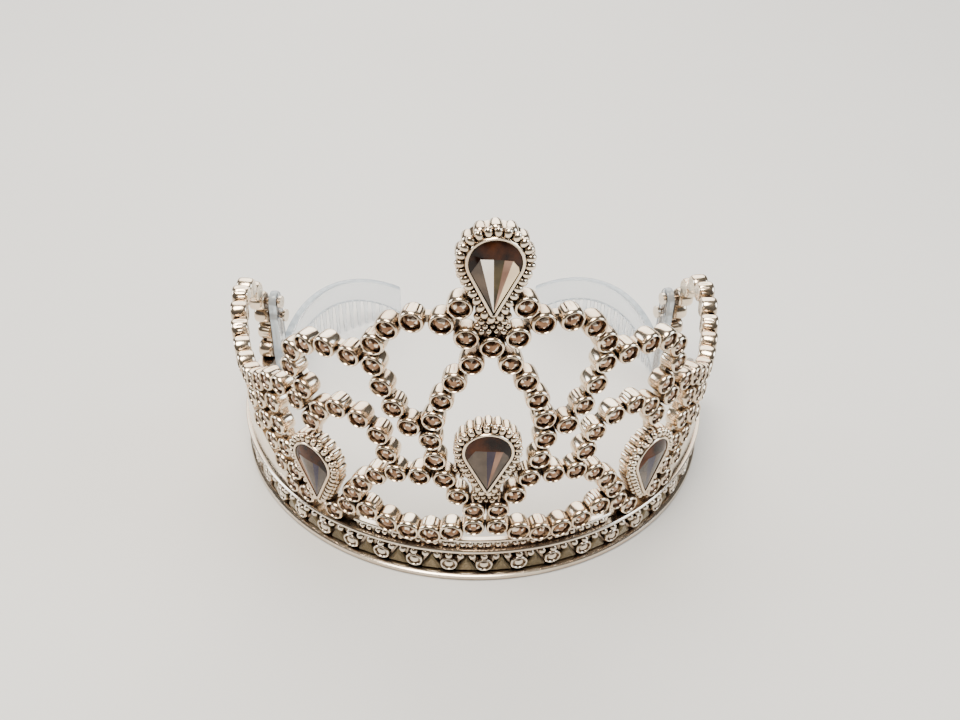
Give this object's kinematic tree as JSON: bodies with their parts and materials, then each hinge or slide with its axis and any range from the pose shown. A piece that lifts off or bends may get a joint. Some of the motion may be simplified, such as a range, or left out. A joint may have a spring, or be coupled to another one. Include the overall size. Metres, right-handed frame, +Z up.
{
  "type": "tiara",
  "caption": "Toy tiara: openwork front of small round stone cups and pear-shaped stone settings on a patterned curved base band, with a clear plastic comb inside each end",
  "frame": {"origin": "bottom centre of the bounding box, on the table under the tiara", "axes": "+Z up, -Y towards the front of the tiara, +X towards the wearer's left; the tiara is mirror-symmetric in X"},
  "size_m": [0.1226, 0.1142, 0.0947],
  "materials": {
    "silver_plating": "bright silver plating on moulded plastic",
    "round_stone": "faceted smoky brown stones with a mirrored back",
    "pear_stone": "faceted dark smoky acrylic",
    "clear_comb": "clear colourless moulded plastic",
    "comb_peg": "bright silver plating on moulded plastic"
  },
  "bodies": {
    "root": {"band_facets": "silver_plating", "band_pearls": "silver_plating", "band_studs": "silver_plating", "base_band": "silver_plating", "centre_arch": "silver_plating", "centre_pear_stone": "pear_stone", "centre_setting": "silver_plating", "comb_left": "clear_comb", "comb_pegs_left": "comb_peg", "comb_pegs_right": "comb_peg", "comb_right": "clear_comb", "cross_row_left": "silver_plating", "cross_row_right": "silver_plating", "end_loop_left": "silver_plating", "end_loop_right": "silver_plating", "end_panel_left": "silver_plating", "end_panel_right": "silver_plating", "flank_rows_left": "silver_plating", "flank_rows_right": "silver_plating", "gallery_rail": "silver_plating", "inner_scroll_left": "silver_plating", "inner_scroll_right": "silver_plating", "shoulder_row_left": "silver_plating", "shoulder_row_right": "silver_plating", "side_pear_stone_left": "pear_stone", "side_pear_stone_right": "pear_stone", "side_scroll_left": "silver_plating", "side_scroll_right": "silver_plating", "side_setting_left": "silver_plating", "side_setting_right": "silver_plating", "stones_centre_arch": "round_stone", "stones_cross_row_left": "round_stone", "stones_cross_row_right": "round_stone", "stones_end_loop_left": "round_stone", "stones_end_loop_right": "round_stone", "stones_flank_rows_left": "round_stone", "stones_flank_rows_right": "round_stone", "stones_inner_scroll_left": "round_stone", "stones_inner_scroll_right": "round_stone", "stones_shoulder_row_left": "round_stone", "stones_shoulder_row_right": "round_stone", "stones_side_scroll_left": "round_stone", "stones_side_scroll_right": "round_stone", "stones_swag_row_left": "round_stone", "stones_swag_row_right": "round_stone", "stones_upper_scroll_left": "round_stone", "stones_upper_scroll_right": "round_stone", "swag_row_left": "silver_plating", "swag_row_right": "silver_plating", "top_pear_stone": "pear_stone", "top_setting": "silver_plating", "upper_scroll_left": "silver_plating", "upper_scroll_right": "silver_plating"}
  },
  "joints": []
}
